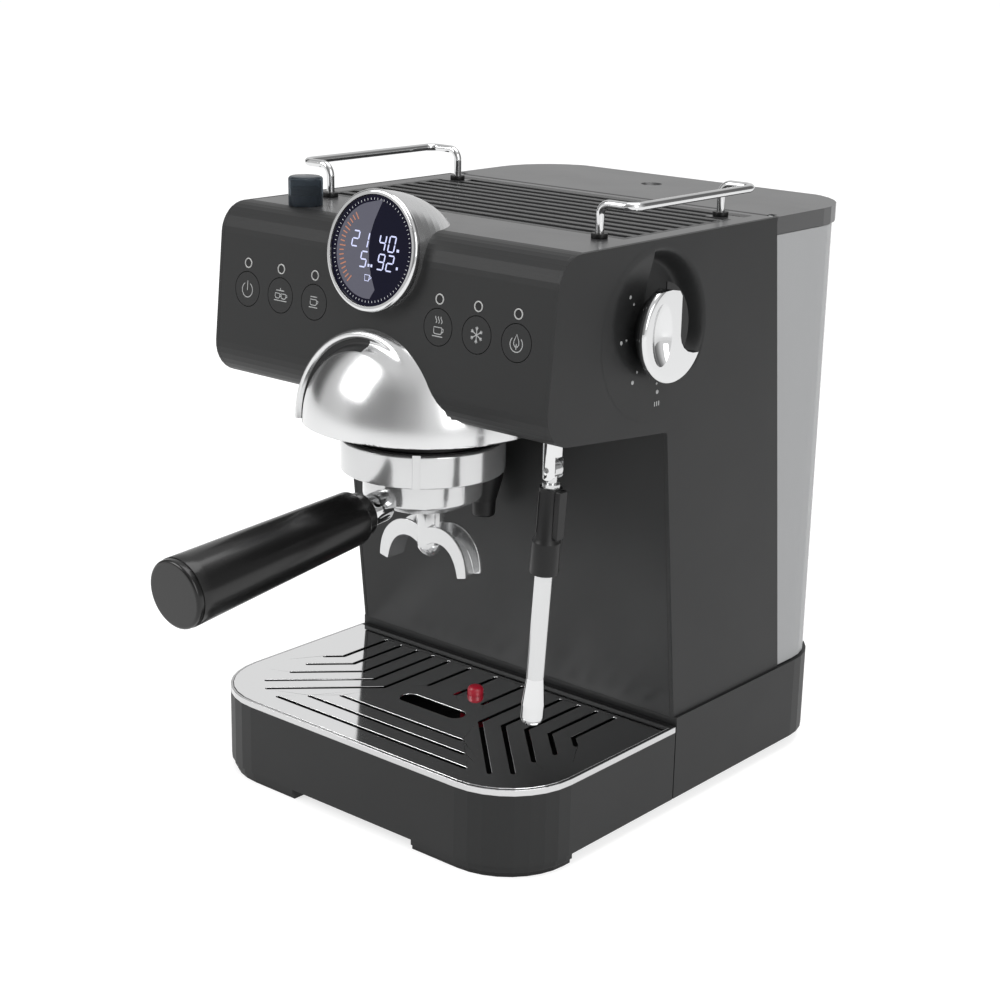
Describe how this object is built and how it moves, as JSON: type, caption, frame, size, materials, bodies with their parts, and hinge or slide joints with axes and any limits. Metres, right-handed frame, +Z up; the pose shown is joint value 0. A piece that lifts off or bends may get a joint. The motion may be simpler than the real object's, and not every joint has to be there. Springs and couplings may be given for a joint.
{
  "type": "espresso machine",
  "caption": "Pump espresso machine with a bayonet portafilter, steam wand, round display, drip tray, cup rack and a lift-out rear water tank.",
  "frame": {"origin": "bottom centre of the machine's bounding box, with the handle straight ahead", "axes": "+X to the right as the user faces the machine, +Y to the back, +Z up"},
  "size_m": [0.2502, 0.425, 0.3454],
  "materials": {
    "black_case": "satin",
    "grey_top": "satin",
    "ribbed_grey": "satin",
    "chrome": "polished",
    "plate_steel": "polished",
    "trim_steel": "satin",
    "inner_steel": "satin",
    "handle_black": "gloss",
    "soft_black": "matt",
    "display_glass": "gloss",
    "lamp_white": "gloss",
    "float_red": "gloss",
    "smoke_tank": "gloss",
    "smoke_cap": "gloss",
    "stem_blue": "gloss",
    "brass": "satin",
    "cast_aluminium": "cast",
    "board_green": "matt",
    "hose_cream": "matt",
    "pump_body": "matt"
  },
  "bodies": {
    "housing": {"base_pan": "black_case", "feet": "soft_black", "base_shell": "black_case", "side_panel_left": "black_case", "side_panel_right": "black_case", "front_panel": "black_case", "splash_panel": "black_case", "top_cover": "grey_top", "cup_tray": "ribbed_grey", "rear_wall": "black_case", "cup_rails": "chrome", "rail_grommets": "soft_black", "vent_cap": "smoke_cap", "vent_stem": "stem_blue", "display_dome": "chrome", "display_drum": "black_case", "display_ring": "chrome", "display_glass": "display_glass", "button_board": "board_green", "indicator_rings": "lamp_white", "group_hood": "chrome", "group_head": "brass", "lock_ring": "chrome", "group_gasket": "soft_black", "shower_screen": "inner_steel", "boiler": "cast_aluminium", "solenoid_valve": "pump_body", "pump": "pump_body", "pump_mounts": "soft_black", "water_hoses": "hose_cream", "steam_valve": "brass", "control_board": "board_green", "power_inlet": "soft_black", "drain_nozzle": "black_case"},
    "power_button": {"button_power": "black_case"},
    "two_cups_button": {"button_two_cups": "black_case"},
    "one_cup_button": {"button_one_cup": "black_case"},
    "hot_water_button": {"button_hot_water": "black_case"},
    "cold_button": {"button_cold": "black_case"},
    "steam_button": {"button_steam": "black_case"},
    "steam_knob": {"knob_shaft": "inner_steel", "steam_knob": "chrome", "knob_insert": "handle_black"},
    "wand_knuckle": {"wand_knuckle": "chrome"},
    "steam_wand": {"wand_tube": "chrome", "wand_tip": "chrome", "wand_grip": "soft_black"},
    "drip_tray": {"tray_shell": "black_case", "tray_trim": "trim_steel"},
    "drip_plate": {"drip_plate": "plate_steel"},
    "tray_float": {"tray_float": "float_red"},
    "tank": {"tank": "smoke_tank", "tank_valve": "soft_black"},
    "tank_lid": {"tank_lid": "grey_top"},
    "portafilter": {"filter_holder": "chrome", "filter_basket": "inner_steel", "spout": "chrome", "handle_neck": "chrome", "handle_grip": "handle_black", "handle_cap": "handle_black"}
  },
  "joints": [
    {"name": "power_button_press", "type": "slide", "parent": "housing", "child": "power_button", "axis": [0, 0.9954, -0.0958], "range_m": [0, 0.0015], "stiffness_N_per_m": 400, "springref_m": -0.0015},
    {"name": "two_cups_button_press", "type": "slide", "parent": "housing", "child": "two_cups_button", "axis": [0, 0.9954, -0.0958], "range_m": [0, 0.0015], "stiffness_N_per_m": 400, "springref_m": -0.0015},
    {"name": "one_cup_button_press", "type": "slide", "parent": "housing", "child": "one_cup_button", "axis": [0, 0.9954, -0.0958], "range_m": [0, 0.0015], "stiffness_N_per_m": 400, "springref_m": -0.0015},
    {"name": "hot_water_button_press", "type": "slide", "parent": "housing", "child": "hot_water_button", "axis": [0, 0.9954, -0.0958], "range_m": [0, 0.0015], "stiffness_N_per_m": 400, "springref_m": -0.0015},
    {"name": "cold_button_press", "type": "slide", "parent": "housing", "child": "cold_button", "axis": [0, 0.9954, -0.0958], "range_m": [0, 0.0015], "stiffness_N_per_m": 400, "springref_m": -0.0015},
    {"name": "steam_button_press", "type": "slide", "parent": "housing", "child": "steam_button", "axis": [0, 0.9954, -0.0958], "range_m": [0, 0.0015], "stiffness_N_per_m": 400, "springref_m": -0.0015},
    {"name": "steam_knob_turn", "type": "hinge", "parent": "housing", "child": "steam_knob", "pos_m": [0.11215, 0.01046, 0.2791], "axis": [1, 0, 0], "range_deg": [-135, 0]},
    {"name": "wand_swivel", "type": "hinge", "parent": "housing", "child": "wand_knuckle", "pos_m": [0.09935, -0.05344, 0.216], "axis": [0, 0, 1], "range_deg": [-60, 60]},
    {"name": "wand_tilt", "type": "hinge", "parent": "wand_knuckle", "child": "steam_wand", "pos_m": [0.09935, -0.05344, 0.216], "axis": [0, -1, 0], "range_deg": [-8, 40]},
    {"name": "drip_tray_slide", "type": "slide", "parent": "housing", "child": "drip_tray", "axis": [0, -1, 0], "range_m": [0, 0.14]},
    {"name": "drip_plate_lift", "type": "slide", "parent": "drip_tray", "child": "drip_plate", "axis": [0, 0, 1], "range_m": [0, 0.02]},
    {"name": "tray_float_rise", "type": "slide", "parent": "drip_tray", "child": "tray_float", "axis": [0, 0, 1], "range_m": [0, 0.0045]},
    {"name": "tank_lift", "type": "slide", "parent": "housing", "child": "tank", "axis": [0, 0, 1], "range_m": [0, 0.27]},
    {"name": "tank_lid_hinge", "type": "hinge", "parent": "tank", "child": "tank_lid", "pos_m": [-0.00515, 0.12138, 0.3224], "axis": [1, 0, 0], "range_deg": [0, 85]},
    {"name": "portafilter_turn", "type": "hinge", "parent": "housing", "child": "portafilter", "pos_m": [-0.00515, -0.03464, 0.1924], "axis": [0, 0, -1], "range_deg": [0, 50]}
  ]
}
